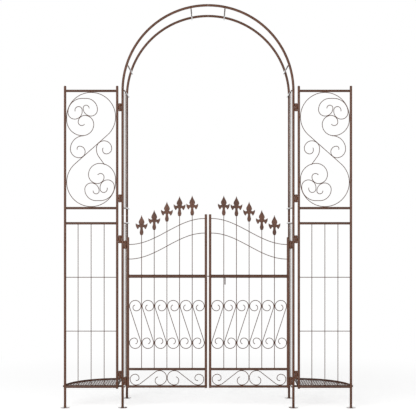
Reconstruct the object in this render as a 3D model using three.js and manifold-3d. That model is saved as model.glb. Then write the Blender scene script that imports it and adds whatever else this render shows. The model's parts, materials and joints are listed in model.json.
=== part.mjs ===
// Garden trellis arch with a two-leaf gate, two side wings and two corner plant trays.
// Millimetres, +Z up, the front faces -Y. The origin is on the ground, midway between the four arch posts.
import * as THREE from "three";
import { mergeVertices } from "three/addons/utils/BufferGeometryUtils.js";
import Module from "manifold-3d";

const wasm = await Module();
wasm.setup();

// ---- Driving dimensions -------------------------------------------------------------------------

const GAP = 0.3; // left between separate pieces that touch
const WELD = 0.8; // how far a welded piece runs into its neighbour

const PASSAGE_R = 486.5; // arch centreline radius, and each arch post's distance from the middle
const SPRING_Z = 1806.4; // where the posts turn into the bow
const DEPTH = 350; // front plane to rear plane
const FRONT_Y = -DEPTH / 2;
const REAR_Y = DEPTH / 2;

const POST_R = 7;
const POST_BORE = 6;
const SPIGOT_R = 5.4;
const SPIGOT_BORE = 4.4;
const SPIGOT_LENGTH = 36;
const BOW_SPIGOT_R = 4.2; // slimmer and shorter, because the bow bends away
const BOW_SPIGOT_LENGTH = 14;
const POST_JOINT_Z = 1094; // lower and upper post meet here
const BOW_JOINT_Z = 1812; // upper post and bow meet here
const POST_SIDES = 10;

const CROSS_R = 4;
const CROSS_X = PASSAGE_R - POST_R - CROSS_R - GAP; // cross bars lie against the posts' inner faces
const BOW_BAR_ANGLES = { crown: 11.7, shoulder: 72.9 }; // degrees from the top of the arch

const WIRE_R = 2;
const WIRE_SIDES = 4;
const BEAD_R = 3; // weld where two wires meet

const FOOT_R = 26;
const FOOT_T = 2.5;
const FOOT_SPIGOT = 28;

const WING_INNER_X = 517.4;
const WING_OUTER_X = 814.4;
const WING_TOP_Z = 1834;
const WING_INNER_BOTTOM_Z = 108;
const WING_RAILS = { top: 1805.3, upper: 1136.8, lower: 1051.1, bottom: 119.1 };
const WING_CROSS_WIRES = [436, 743];

const GATE_INNER_X = 12;
const GATE_OUTER_X = 455.5;
const STILE_R = 7;
const STILE_BORE = 6;
const STILE_BOTTOM_Z = 113;
const INNER_STILE_TOP_Z = 1102.6;
const OUTER_STILE_TOP_Z = 972;
const MID_RAIL_Z = 749;
const MID_RAIL_R = 9.25;
const MID_RAIL_BORE = 7.6;
const LOW_RAIL_Z = 220.4;
const BOTTOM_RAIL_Z = 120.8;
const PICKET_PITCH = 72.15;
const PICKET_FIRST_X = 89.9;
const FINIAL_BOTTOMS = [1095.5, 1091.5, 1060.5, 1013, 983.5]; // from the meeting stiles outwards
const FINIAL_T = 8;
const WAVE_RISE = 148;
const WAVE_LOW_Z = [847, 930]; // at the hinge side

const HINGE_R = 8.1; // the barrel all but fills the gap between two tubes
const HINGE_BORE = 3.6;
const PIN_R = 3;
const HINGE_H = 44;
const KNUCKLE_H = 13;
const HINGE_SIDES = 8;
const HINGE_TAB_T = 5;
const GATE_HINGE_X = 471;
const GATE_HINGES_Z = [152, 928];
const WING_HINGE_X = (PASSAGE_R + WING_INNER_X) / 2;
const WING_HINGES_Z = [188, 959.6, 1192.6, 1711.7];

const BOLT_R = 3;
const BOLT_TIP_X = -4.8;
const BOLT_PEG_X = 97;
const BOLT_PEG_BOTTOM_Z = 701;
const BOLT_TRAVEL = 20;
const BOLT_HOLE_R = 3.7;

const TRAY_TUBE_R = 6;
const TRAY_Z = 121;
const TRAY_R = 304; // about the inner wing post
const TRAY_FRONT_Y = FRONT_Y + POST_R + TRAY_TUBE_R + GAP;
const TRAY_FRONT_OVERLAP = 3.5; // the front tube starts this far outside the arch post's centre
const TRAY_LATTICE_PITCH = 88;
const TRAY_STRAP_W = 3;
const TRAY_STRAP_T = 1.6;

// ---- Materials ----------------------------------------------------------------------------------

const brown = new THREE.MeshStandardMaterial({ color: 0x5f4032, roughness: 0.45, metalness: 0.3 });
const wireBrown = new THREE.MeshStandardMaterial({ color: 0x6a5040, roughness: 0.45, metalness: 0.3 });
const castBrown = new THREE.MeshStandardMaterial({ color: 0x7d6154, roughness: 0.5, metalness: 0.3 });
const zinc = new THREE.MeshStandardMaterial({ color: 0x8a8580, roughness: 0.4, metalness: 0.8 });

// ---- Solids: joining and cutting ----------------------------------------------------------------

function toSolid(geometry) {
  const bare = geometry.clone();
  bare.deleteAttribute("normal");
  bare.deleteAttribute("uv");
  const merged = mergeVertices(bare, 1e-4);
  const mesh = new wasm.Mesh({
    numProp: 3,
    vertProperties: merged.attributes.position.array,
    triVerts: new Uint32Array(merged.index.array),
  });
  return new wasm.Manifold(mesh);
}

function toGeometry(solid) {
  const mesh = solid.getMesh();
  const geometry = new THREE.BufferGeometry();
  geometry.setAttribute("position", new THREE.BufferAttribute(mesh.vertProperties, 3));
  geometry.setIndex(new THREE.BufferAttribute(mesh.triVerts, 1));
  const flat = geometry.toNonIndexed();
  flat.computeVertexNormals();
  return flat;
}

function joined(geometries, cuts = []) {
  let solid = toSolid(geometries[0]);
  for (const geometry of geometries.slice(1)) solid = solid.add(toSolid(geometry));
  for (const cut of cuts) solid = solid.subtract(toSolid(cut));
  return toGeometry(solid);
}

// ---- Plain shapes -------------------------------------------------------------------------------

function box(x0, x1, y0, y1, z0, z1) {
  const geometry = new THREE.BoxGeometry(x1 - x0, y1 - y0, z1 - z0);
  return geometry.translate((x0 + x1) / 2, (y0 + y1) / 2, (z0 + z1) / 2);
}

// A profile of [radius, height] points turned about the Z axis at (x, y).
function turned(profile, x, y, sides = POST_SIDES) {
  const points = profile.map(([radius, height]) => new THREE.Vector2(radius, height));
  return new THREE.LatheGeometry(points, sides).rotateX(Math.PI / 2).translate(x, y, 0);
}

// A solid bar, or a tube where a bore is given, from a along the axis "x", "y" or "z" for a length.
function bar(axis, a, length, radius, bore = 0, sides = POST_SIDES) {
  const profile = bore
    ? [[bore, 0], [radius, 0], [radius, length], [bore, length], [bore, 0]]
    : [[0, 0], [radius, 0], [radius, length], [0, length]];
  const geometry = turned(profile, 0, 0, sides);
  if (axis === "x") geometry.rotateY(Math.PI / 2);
  if (axis === "y") geometry.rotateX(-Math.PI / 2);
  return geometry.translate(...a);
}

// An upright tube with a closed, slightly rounded top.
function cappedTube(x, y, z0, z1, radius, bore) {
  const lid = 2;
  const profile = [
    [0, z1 - lid], [bore, z1 - lid], [bore, z0], [radius, z0],
    [radius, z1 - lid], [radius - lid, z1], [0, z1],
  ];
  return turned(profile, x, y);
}

function ring(radius, sides, hole = 0, holeSides = sides) {
  const circle = (r, n, Path) => {
    const points = [];
    for (let i = 0; i < n; i += 1) {
      const angle = (i / n) * 2 * Math.PI;
      points.push(new THREE.Vector2(r * Math.cos(angle), r * Math.sin(angle)));
    }
    return new Path(points);
  };
  const shape = circle(radius, sides, THREE.Shape);
  if (hole) shape.holes.push(circle(hole, holeSides, THREE.Path));
  return shape;
}

// ---- Bent wires and tubes -------------------------------------------------------------------------

class RunOfPoints extends THREE.Curve {
  constructor(points) {
    super();
    this.points = points;
  }

  getPoint(t, target = new THREE.Vector3()) {
    const last = this.points.length - 1;
    const place = Math.min(Math.max(t, 0), 1) * last;
    const index = Math.min(Math.floor(place), last - 1);
    return target.lerpVectors(this.points[index], this.points[index + 1], place - index);
  }

  getPointAt(u, target) {
    return this.getPoint(u, target);
  }

  getTangentAt(u, target = new THREE.Vector3()) {
    const last = this.points.length - 1;
    const index = Math.round(u * last);
    const before = this.points[Math.max(index - 1, 0)];
    const after = this.points[Math.min(index + 1, last)];
    return target.subVectors(after, before).normalize();
  }
}

const CHORD_ERROR = 2.2; // how far an arc's straight pieces may leave the true curve

// In the front plane. moves: { run: length } or { r: radius, turn: degrees }, positive turns to the left.
function chain(x, z, headingDegrees, moves) {
  let heading = THREE.MathUtils.degToRad(headingDegrees);
  const points = [new THREE.Vector3(x, FRONT_Y, z)];
  for (const move of moves) {
    const from = points[points.length - 1];
    if (move.run !== undefined) {
      const step = new THREE.Vector3(Math.cos(heading), 0, Math.sin(heading)).multiplyScalar(move.run);
      points.push(from.clone().add(step));
      continue;
    }
    const turn = THREE.MathUtils.degToRad(move.turn);
    const side = Math.sign(turn);
    const centre = new THREE.Vector3(-Math.sin(heading), 0, Math.cos(heading));
    centre.multiplyScalar(side * move.r).add(from);
    const steps = Math.ceil(Math.abs(turn) * Math.sqrt(move.r / (8 * CHORD_ERROR)));
    for (let i = 1; i <= steps; i += 1) {
      const angle = heading + (turn * i) / steps - (side * Math.PI) / 2;
      points.push(new THREE.Vector3(Math.cos(angle), 0, Math.sin(angle)).multiplyScalar(move.r).add(centre));
    }
    heading += turn;
  }
  return points;
}

function swept(points, shape) {
  const path = new RunOfPoints(points);
  const steps = points.length - 1;
  return new THREE.ExtrudeGeometry(shape, { steps, bevelEnabled: false, extrudePath: path });
}

function wire(points, radius = WIRE_R, sides = WIRE_SIDES) {
  return swept(points, ring(radius, sides));
}

// A half of a scroll, turned half a turn about (x, z), gives the other half; both are one wire.
function turnedAboutMiddle(half, x, z) {
  const other = half.map((p) => new THREE.Vector3(2 * x - p.x, p.y, 2 * z - p.z));
  return [...other.slice(1).reverse(), ...half];
}

function mirroredAbout(points, x) {
  return points.map((p) => new THREE.Vector3(2 * x - p.x, p.y, p.z));
}

function weldBead(x, z) {
  return new THREE.OctahedronGeometry(BEAD_R).translate(x, FRONT_Y, z);
}

// ---- Hinges: the fixed leaf has the two outer knuckles, the other leaf the middle one -----------------

function knuckle(x, z0, height, bore) {
  return bar("z", [x, FRONT_Y, z0], height, HINGE_R, bore, HINGE_SIDES);
}

function hingeTab(axisX, tubeX, z0, height) {
  const side = Math.sign(tubeX - axisX);
  const near = axisX + side * (HINGE_R - WELD);
  const far = tubeX - side * (POST_R - 1.5);
  const y0 = FRONT_Y - HINGE_TAB_T / 2;
  return box(Math.min(near, far), Math.max(near, far), y0, y0 + HINGE_TAB_T, z0, z0 + height);
}

function outerKnuckles(axisX, tubeX, z, bore) {
  const low = z - HINGE_H / 2;
  const high = z + HINGE_H / 2 - KNUCKLE_H;
  const pieces = [];
  for (const start of [low, high]) {
    pieces.push(knuckle(axisX, start, KNUCKLE_H, bore));
    pieces.push(hingeTab(axisX, tubeX, start, KNUCKLE_H));
  }
  return pieces;
}

function middleKnuckle(axisX, tubeX, z) {
  const height = HINGE_H - 2 * KNUCKLE_H - 2 * GAP;
  const start = z - height / 2;
  return [knuckle(axisX, start, height, HINGE_BORE), hingeTab(axisX, tubeX, start, height)];
}

// A wing hinge's pin is riveted into the fixed leaf's knuckles, so they are one piece.
function rivetedHinge(axisX, tubeX, z) {
  const pin = bar("z", [axisX, FRONT_Y, z - HINGE_H / 2 + 2], HINGE_H - 4, PIN_R, 0, HINGE_SIDES);
  return [...outerKnuckles(axisX, tubeX, z, 0), pin];
}

function gateHingePin(z) {
  const headR = 5.5;
  const top = z + HINGE_H / 2;
  const bottom = z - HINGE_H / 2;
  const profile = [
    [0, bottom - 2], [PIN_R, bottom - 2], [PIN_R, top + GAP],
    [headR, top + GAP], [headR, top + 1.5], [0, top + 2.5],
  ];
  return turned(profile, GATE_HINGE_X, FRONT_Y, HINGE_SIDES);
}

// ---- Arch ---------------------------------------------------------------------------------------

function foot(x, y) {
  const profile = [
    [0, 0], [FOOT_R, 0], [FOOT_R, FOOT_T], [SPIGOT_R, FOOT_T], [SPIGOT_R, FOOT_SPIGOT], [0, FOOT_SPIGOT],
  ];
  return turned(profile, x, y, 12);
}

function lowerPost(y, withHinges) {
  const z0 = FOOT_T + GAP;
  const tube = bar("z", [PASSAGE_R, y, z0], POST_JOINT_Z - z0, POST_R, POST_BORE);
  if (!withHinges) return tube;
  const hinges = [];
  for (const z of GATE_HINGES_Z) hinges.push(...outerKnuckles(GATE_HINGE_X, PASSAGE_R, z, HINGE_BORE));
  for (const z of WING_HINGES_Z.slice(0, 2)) hinges.push(...rivetedHinge(WING_HINGE_X, PASSAGE_R, z));
  return hollowed(joined([tube, ...hinges]), y, z0 - 1, POST_JOINT_Z + 1);
}

// Clears hinge tabs out of a post's bore.
function hollowed(geometry, y, z0, z1) {
  const core = bar("z", [PASSAGE_R, y, z0], z1 - z0, POST_BORE);
  return joined([geometry], [core]);
}

// The upper post narrows at both ends, to stand in the lower post and to carry the bow.
function upperPost(y, withHinges) {
  const z0 = POST_JOINT_Z + GAP;
  const z1 = BOW_JOINT_Z;
  const profile = [
    [SPIGOT_BORE, z0 - SPIGOT_LENGTH], [SPIGOT_R, z0 - SPIGOT_LENGTH], [SPIGOT_R, z0], [POST_R, z0],
    [POST_R, z1], [BOW_SPIGOT_R, z1], [BOW_SPIGOT_R, z1 + BOW_SPIGOT_LENGTH],
    [BOW_SPIGOT_R - 1, z1 + BOW_SPIGOT_LENGTH], [BOW_SPIGOT_R - 1, z1 - 2], [POST_BORE, z1 - 4],
    [POST_BORE, z0 + 4], [SPIGOT_BORE, z0 + 2], [SPIGOT_BORE, z0 - SPIGOT_LENGTH],
  ];
  const tube = turned(profile, PASSAGE_R, y);
  if (!withHinges) return tube;
  const hinges = [];
  for (const z of WING_HINGES_Z.slice(2)) hinges.push(...rivetedHinge(WING_HINGE_X, PASSAGE_R, z));
  const whole = joined([tube, ...hinges]);
  return hollowed(whole, y, z0 + 5, z1 - 5);
}

// A sleeve set in the crown end of one bow piece, standing out beyond x = 0.
function crownSleeve() {
  const bite = POST_BORE + 0.5;
  const bore = BOW_SPIGOT_R - 1;
  const [collarFrom, collarTo] = [0.4, 6]; // where it fills its own bow piece's bore
  const profile = [
    [bore, -BOW_SPIGOT_LENGTH], [BOW_SPIGOT_R, -BOW_SPIGOT_LENGTH], [BOW_SPIGOT_R, collarFrom],
    [bite, collarFrom], [bite, collarTo], [bore, collarTo], [bore, -BOW_SPIGOT_LENGTH],
  ];
  return turned(profile, 0, 0, 8).rotateY(Math.PI / 2);
}

// A quarter of the bow, from the upper post to the crown. One side carries the crown sleeve.
function bow(y, withSleeve) {
  const startAngle = Math.asin((BOW_JOINT_Z + GAP - SPRING_Z) / PASSAGE_R);
  const endAngle = Math.acos(GAP / 2 / PASSAGE_R);
  const steps = 12;
  const nearEnd = 0.01; // a short first and last step keeps both cut ends square to the curve
  const angles = [startAngle, startAngle + nearEnd];
  for (let i = 1; i < steps; i += 1) angles.push(startAngle + ((endAngle - startAngle) * i) / steps);
  angles.push(endAngle - nearEnd, endAngle);
  const points = angles.map((angle) => {
    return new THREE.Vector3(PASSAGE_R * Math.cos(angle), y, SPRING_Z + PASSAGE_R * Math.sin(angle));
  });
  const tube = swept(points, ring(POST_R, POST_SIDES, POST_BORE, 8));
  if (!withSleeve) return tube;
  return joined([tube, crownSleeve().translate(GAP / 2, y, SPRING_Z + PASSAGE_R)]);
}

function bowCrossBar(degreesFromCrown) {
  const angle = THREE.MathUtils.degToRad(degreesFromCrown);
  const radius = CROSS_X - 1.1; // clear of the bow, which is made of short straight runs
  const x = radius * Math.sin(angle);
  const z = SPRING_Z + radius * Math.cos(angle);
  return bar("y", [x, FRONT_Y - POST_R, z], DEPTH + 2 * POST_R, CROSS_R, 0, 8);
}

// Cross bars and two upright wires between the front and rear posts of one side.
function sideGrid(z0, z1) {
  const pieces = [];
  for (const z of [z0, z1]) {
    pieces.push(bar("y", [CROSS_X, FRONT_Y - POST_R, z], DEPTH + 2 * POST_R, CROSS_R, 0, 8));
  }
  const wireX = CROSS_X + CROSS_R + WIRE_R - WELD;
  for (const part of [1 / 3, 2 / 3]) {
    const y = FRONT_Y + DEPTH * part;
    pieces.push(bar("z", [wireX, y, z0 - CROSS_R / 2], z1 - z0 + CROSS_R, WIRE_R, 0, WIRE_SIDES));
  }
  return joined(pieces);
}

// ---- Wings --------------------------------------------------------------------------------------

const WING_CENTRE_X = (WING_INNER_X + WING_OUTER_X) / 2;
const SCROLL_CENTRE_Z = (WING_RAILS.top + WING_RAILS.upper) / 2;
const RAIL_X0 = WING_INNER_X + POST_R + GAP;
const RAIL_X1 = WING_OUTER_X - POST_R - GAP;

function wingInnerPost() {
  const tube = cappedTube(WING_INNER_X, FRONT_Y, WING_INNER_BOTTOM_Z, WING_TOP_Z, POST_R, POST_BORE);
  const knuckles = WING_HINGES_Z.flatMap((z) => middleKnuckle(WING_HINGE_X, WING_INNER_X, z));
  return joined([tube, ...knuckles]);
}

function wingOuterPost() {
  return cappedTube(WING_OUTER_X, FRONT_Y, FOOT_T + GAP, WING_TOP_Z, POST_R, POST_BORE);
}

function wingRail(z) {
  return bar("x", [RAIL_X0, FRONT_Y, z], RAIL_X1 - RAIL_X0, POST_R, POST_BORE);
}

// Scroll outlines are laid out about the panel's middle, on the side where the big curl is on the outside.
const BIG_R = 139.1;
const BIG_Z = 186;
const TANGENT = THREE.MathUtils.radToDeg(Math.asin(BIG_R / BIG_Z)); // the long diagonal's lean from upright

function mainScroll() {
  const diagonal = Math.sqrt(BIG_Z ** 2 - BIG_R ** 2);
  const half = chain(0, 0, 90 - TANGENT, [
    { run: diagonal },
    { r: BIG_R, turn: 180 + TANGENT },
    { run: 17 },
    { r: 90, turn: 90 },
    { r: 64, turn: 90 },
    { r: 51, turn: 90 },
    { r: 37.5, turn: 90 },
    { r: 20, turn: 145 },
  ]);
  return turnedAboutMiddle(half, 0, 0);
}

// Two curls on one back, resting on the main scroll's inner curl. A second one lies half a turn round.
function heartScroll() {
  const left = chain(-52, 291.2, 180, [
    { r: 80, turn: 90 }, { r: 38, turn: 90 }, { r: 43, turn: 90 }, { run: 8 }, { r: 20.5, turn: 200 },
  ]);
  const right = chain(-52, 291.2, 0, [
    { run: 24 }, { r: 64, turn: -90 }, { r: 36.5, turn: -90 }, { r: 45, turn: -90 }, { r: 17, turn: -185 },
  ]);
  return [...left.slice(1).reverse(), ...right];
}

function smallScroll() {
  return chain(-43, 78, 180, [
    { r: 75, turn: 90 }, { r: 50, turn: 90 }, { r: 34, turn: 90 }, { r: 32, turn: 90 }, { r: 14, turn: 115 },
  ]);
}

// The other small scroll springs from the lower inner curl and bends back over, under the diagonal.
function backScroll() {
  return chain(74.6, -84.1, 125.5, [
    { run: 54 }, { r: 70, turn: -35.5 }, { run: 5.5 }, { r: 43.5, turn: -180 }, { r: 31, turn: -90 },
    { r: 20.5, turn: -90 }, { run: 6 }, { r: 14, turn: -40 },
  ]);
}

// Where the scrolls are welded to the rail and to each other, in the same layout.
const PAIRED_WELDS = [[0, 326], [-124.7, 246.4], [-17.5, 192], [-63.4, 184.2]];
const SMALL_SCROLL_WELDS = [[-44, 79], [-45.1, -39], [74.6, -84.1], [44.7, 38.9]];

function wingScrollPanel() {
  const heart = heartScroll();
  const turnedHeart = heart.map((p) => new THREE.Vector3(-p.x, p.y, -p.z));
  const runs = [mainScroll(), heart, turnedHeart, smallScroll(), backScroll()];
  const onPanel = (p) => new THREE.Vector3(WING_CENTRE_X - p.x, p.y, SCROLL_CENTRE_Z + p.z);
  const pieces = [wingRail(WING_RAILS.top), wingRail(WING_RAILS.upper)];
  for (const points of runs) pieces.push(wire(points.map(onPanel)));
  const turnedWelds = PAIRED_WELDS.map(([x, z]) => [-x, -z]);
  for (const [x, z] of [...PAIRED_WELDS, ...turnedWelds, ...SMALL_SCROLL_WELDS]) {
    pieces.push(weldBead(WING_CENTRE_X - x, SCROLL_CENTRE_Z + z));
  }
  return joined(pieces);
}

function wingGridPanel() {
  const { lower, bottom } = WING_RAILS;
  const pieces = [wingRail(lower), wingRail(bottom)];
  const z0 = bottom + POST_R - WELD;
  const height = lower - POST_R + WELD - z0;
  const spacing = (WING_OUTER_X - WING_INNER_X) / 4;
  for (let i = 1; i <= 3; i += 1) {
    const x = WING_INNER_X + spacing * i;
    pieces.push(bar("z", [x, FRONT_Y, z0], height, WIRE_R, 0, WIRE_SIDES));
  }
  for (const z of WING_CROSS_WIRES) {
    pieces.push(bar("x", [RAIL_X0, FRONT_Y, z], RAIL_X1 - RAIL_X0, WIRE_R, 0, WIRE_SIDES));
  }
  return joined(pieces);
}

// ---- Corner plant trays -------------------------------------------------------------------------

// An open floor of crossed diagonal straps, cut to the quarter circle inside the rim.
function latticeFloor() {
  const across = 2 * TRAY_R;
  const straps = [];
  for (let c = -TRAY_R; c < across; c += TRAY_LATTICE_PITCH) {
    for (const side of [-1, 1]) {
      const strap = new THREE.BoxGeometry(across * 1.5, TRAY_STRAP_W, TRAY_STRAP_T);
      strap.rotateZ((side * Math.PI) / 4);
      straps.push(strap.translate(WING_INNER_X + c, FRONT_Y, TRAY_Z));
    }
  }
  const outline = new THREE.Shape();
  outline.moveTo(0, TRAY_FRONT_Y - FRONT_Y);
  for (const [x, y] of rimPoints()) outline.lineTo(x, y);
  outline.closePath();
  const inside = new THREE.ExtrudeGeometry(outline, { depth: 4 * TRAY_STRAP_T, bevelEnabled: false });
  inside.translate(WING_INNER_X, FRONT_Y, TRAY_Z - 2 * TRAY_STRAP_T);
  const crossed = toSolid(joined(straps));
  return toGeometry(crossed.intersect(toSolid(inside)));
}

// The rim's centreline, from its front end to its rear end, about the inner post.
function rimPoints() {
  const steps = 14;
  const start = Math.asin((TRAY_FRONT_Y - FRONT_Y) / TRAY_R);
  const points = [];
  for (let i = 0; i <= steps; i += 1) {
    const angle = start + (i / steps) * (Math.PI / 2 - start);
    points.push([TRAY_R * Math.cos(angle), TRAY_R * Math.sin(angle)]);
  }
  return points;
}

function tray() {
  const frontX = PASSAGE_R + TRAY_FRONT_OVERLAP;
  const frontLength = WING_INNER_X + TRAY_R + TRAY_TUBE_R - frontX;
  const sideLength = TRAY_R - (TRAY_FRONT_Y - FRONT_Y) + TRAY_TUBE_R;
  const rim = rimPoints().map(([x, y]) => new THREE.Vector3(WING_INNER_X + x, FRONT_Y + y, TRAY_Z));
  return joined([
    bar("x", [frontX, TRAY_FRONT_Y, TRAY_Z], frontLength, TRAY_TUBE_R, 0, 8),
    bar("y", [WING_INNER_X, TRAY_FRONT_Y, TRAY_Z], sideLength, TRAY_TUBE_R, 0, 8),
    swept(rim, ring(TRAY_TUBE_R, 8)),
    latticeFloor(),
  ]);
}

// ---- Gate leaves --------------------------------------------------------------------------------

const GATE_X0 = GATE_INNER_X + STILE_R + GAP;
const GATE_X1 = GATE_OUTER_X - STILE_R - GAP;
const GATE_MIDDLE_X = (GATE_X0 + GATE_X1) / 2;

function innerStile(throughHole) {
  const tube = cappedTube(GATE_INNER_X, FRONT_Y, STILE_BOTTOM_Z, INNER_STILE_TOP_Z, STILE_R, STILE_BORE);
  const from = GATE_INNER_X - 2 * STILE_R;
  const length = throughHole ? 4 * STILE_R : 2 * STILE_R;
  return joined([tube], [bar("x", [from, FRONT_Y, MID_RAIL_Z], length, BOLT_HOLE_R, 0, 10)]);
}

function outerStile() {
  const tube = cappedTube(GATE_OUTER_X, FRONT_Y, STILE_BOTTOM_Z, OUTER_STILE_TOP_Z, STILE_R, STILE_BORE);
  const knuckles = GATE_HINGES_Z.flatMap((z) => middleKnuckle(GATE_HINGE_X, GATE_OUTER_X, z));
  return joined([tube, ...knuckles]);
}

// The two long waves: half a cosine period, low at the hinge side and high at the meeting stiles.
function wave(lowZ) {
  const steps = 12;
  const points = [];
  for (let i = 0; i <= steps; i += 1) {
    const along = i / steps;
    const x = GATE_X1 + (GATE_X0 - GATE_X1) * along;
    points.push(new THREE.Vector3(x, FRONT_Y, lowZ + (WAVE_RISE * (1 - Math.cos(Math.PI * along))) / 2));
  }
  return wire(points);
}

// An upright S: two curls of one and a quarter turns on a slanting back.
const CURL_R = 32.5;
const CURL_OFFSET_Z = 104.4;

function uprightScroll(x, z) {
  const lean = THREE.MathUtils.radToDeg(Math.asin(CURL_R / CURL_OFFSET_Z));
  const half = chain(x, z, 90 - lean, [
    { run: Math.sqrt(CURL_OFFSET_Z ** 2 - CURL_R ** 2) },
    { r: CURL_R, turn: lean },
    { r: CURL_R, turn: 180 },
    { r: 27, turn: 90 },
    { r: 18.5, turn: 90 },
    { r: 15.5, turn: 75 },
  ]);
  return wire(turnedAboutMiddle(half, x, z));
}

const SCROLL_ROW_Z = 474.5;

function picketXs() {
  return FINIAL_BOTTOMS.map((_, i) => PICKET_FIRST_X + PICKET_PITCH * i);
}

// Middle rail, pickets, waves and the row of upright scrolls, welded into one piece.
function gateGrille(withBolt) {
  const railLength = GATE_X1 - GATE_X0;
  const pieces = [bar("x", [GATE_X0, FRONT_Y, MID_RAIL_Z], railLength, MID_RAIL_R, MID_RAIL_BORE)];
  const xs = picketXs();
  const low = LOW_RAIL_Z + POST_R + GAP;
  xs.forEach((x, i) => {
    const top = MID_RAIL_Z + MID_RAIL_R - WELD;
    const bottom = MID_RAIL_Z - MID_RAIL_R + WELD;
    pieces.push(bar("z", [x, FRONT_Y, low], bottom - low, WIRE_R, 0, WIRE_SIDES));
    pieces.push(bar("z", [x, FRONT_Y, top], FINIAL_BOTTOMS[i] - GAP - top, WIRE_R, 0, WIRE_SIDES));
  });
  pieces.push(...WAVE_LOW_Z.map(wave));
  const bayXs = [xs[0] - PICKET_PITCH / 2, ...xs.map((x) => x + PICKET_PITCH / 2)];
  bayXs[bayXs.length - 1] -= 1; // the bay at the hinge side is a little narrower
  for (const x of bayXs) pieces.push(uprightScroll(x, SCROLL_ROW_Z));
  const slot = box(
    BOLT_PEG_X - BOLT_R - 0.6, BOLT_PEG_X + BOLT_TRAVEL + BOLT_R + 0.6,
    FRONT_Y - BOLT_R - 0.6, FRONT_Y + BOLT_R + 0.6,
    MID_RAIL_Z - 2 * MID_RAIL_R, MID_RAIL_Z - MID_RAIL_BORE / 2,
  );
  return joined(pieces, withBolt ? [slot] : []);
}

// Low rail, bottom rail and the pair of lying scrolls between them.
function gateBottomPanel() {
  const railLength = GATE_X1 - GATE_X0;
  const rail = (z) => bar("x", [GATE_X0, FRONT_Y, z], railLength, POST_R, POST_BORE);
  const pieces = [rail(LOW_RAIL_Z), rail(BOTTOM_RAIL_Z)];
  const rise = LOW_RAIL_Z - BOTTOM_RAIL_Z - 2 * POST_R - 2 * WIRE_R + 0.8;
  const bottomR = 46;
  const bigR = rise / 2;
  const slope = 38;
  const slopeRad = THREE.MathUtils.degToRad(slope);
  const straight = (rise - (bottomR + bigR) * (1 - Math.cos(slopeRad))) / Math.sin(slopeRad);
  const across = (bottomR + bigR) * Math.sin(slopeRad) + straight * Math.cos(slopeRad);
  const startX = GATE_MIDDLE_X + bigR + WIRE_R - 0.4 + across;
  const startZ = BOTTOM_RAIL_Z + POST_R + WIRE_R - 0.4;
  const inward = chain(startX, startZ, 180, [
    { r: bottomR, turn: -slope }, { run: straight }, { r: bigR, turn: slope },
    { r: bigR, turn: 180 }, { r: 25, turn: 90 }, { r: 22, turn: 75 },
  ]);
  const outward = chain(startX, startZ, 0, [
    { r: 32.6, turn: 90 }, { r: 28.5, turn: 90 }, { r: 22, turn: 90 }, { r: 14, turn: 110 },
  ]);
  const scroll = [...outward.slice(1).reverse(), ...inward];
  pieces.push(wire(scroll), wire(mirroredAbout(scroll, GATE_MIDDLE_X)));
  pieces.push(weldBead(GATE_MIDDLE_X, startZ + bigR));
  for (const side of [-1, 1]) {
    const topX = GATE_MIDDLE_X + side * (bigR + WIRE_R - 0.4);
    pieces.push(weldBead(topX, startZ + rise));
    pieces.push(weldBead(topX, startZ));
    pieces.push(weldBead(GATE_MIDDLE_X + side * (startX - GATE_MIDDLE_X), startZ));
  }
  return joined(pieces);
}

// A cast spear head with two hooked side leaves on a bulb, drawn as its right half from the tip down.
function finial(x, bottomZ) {
  const half = [
    [0, 113.5], [8, 94], [14, 83], [16.5, 73], [12.2, 62], [22, 59.5], [33, 68], [33.3, 56], [28, 42],
    [21.8, 34], [13.5, 43.5], [7.3, 41], [10.8, 16], [5.8, 0],
  ];
  const outline = new THREE.Shape();
  outline.moveTo(...half[0]);
  for (const [px, pz] of half.slice(1)) outline.lineTo(px, pz);
  for (const [px, pz] of half.slice(1).reverse()) outline.lineTo(-px, pz);
  outline.closePath();
  const cast = new THREE.ExtrudeGeometry(outline, { depth: FINIAL_T, bevelEnabled: false });
  cast.rotateX(Math.PI / 2);
  return cast.translate(x, FRONT_Y + FINIAL_T / 2, bottomZ);
}

// A round rod bent down at one end for a handle. It slides inside the middle rail.
function latchBolt() {
  const bend = 7;
  const points = chain(BOLT_TIP_X, MID_RAIL_Z, 0, [
    { run: BOLT_PEG_X - bend - BOLT_TIP_X },
    { r: bend, turn: -90 },
    { run: MID_RAIL_Z - bend - BOLT_PEG_BOTTOM_Z },
  ]);
  return wire(points, BOLT_R, 8);
}

// ---- Assembly -----------------------------------------------------------------------------------

const arch = new THREE.Group();

function add(name, geometry, material, mirror = false) {
  const mesh = new THREE.Mesh(geometry, material);
  mesh.name = name;
  if (mirror) mesh.scale.x = -1;
  arch.add(mesh);
}

function addPair(name, geometry, material) {
  add(`${name}_right`, geometry, material);
  add(`${name}_left`, geometry, material, true);
}

addPair("foot_front", foot(PASSAGE_R, FRONT_Y), zinc);
addPair("foot_rear", foot(PASSAGE_R, REAR_Y), zinc);
addPair("foot_wing", foot(WING_OUTER_X, FRONT_Y), zinc);
addPair("post_lower_front", lowerPost(FRONT_Y, true), brown);
addPair("post_lower_rear", lowerPost(REAR_Y, false), brown);
addPair("post_upper_front", upperPost(FRONT_Y, true), brown);
addPair("post_upper_rear", upperPost(REAR_Y, false), brown);
for (const [place, y] of [["front", FRONT_Y], ["rear", REAR_Y]]) {
  add(`bow_${place}_right`, bow(y, true), brown);
  add(`bow_${place}_left`, bow(y, false), brown, true);
}
for (const [place, degrees] of Object.entries(BOW_BAR_ANGLES)) {
  addPair(`bow_bar_${place}`, bowCrossBar(degrees), brown);
}
addPair("side_grid_lower", sideGrid(WING_RAILS.bottom, WING_RAILS.lower), wireBrown);
addPair("side_grid_upper", sideGrid(WING_RAILS.upper, SPRING_Z), wireBrown);

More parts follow.
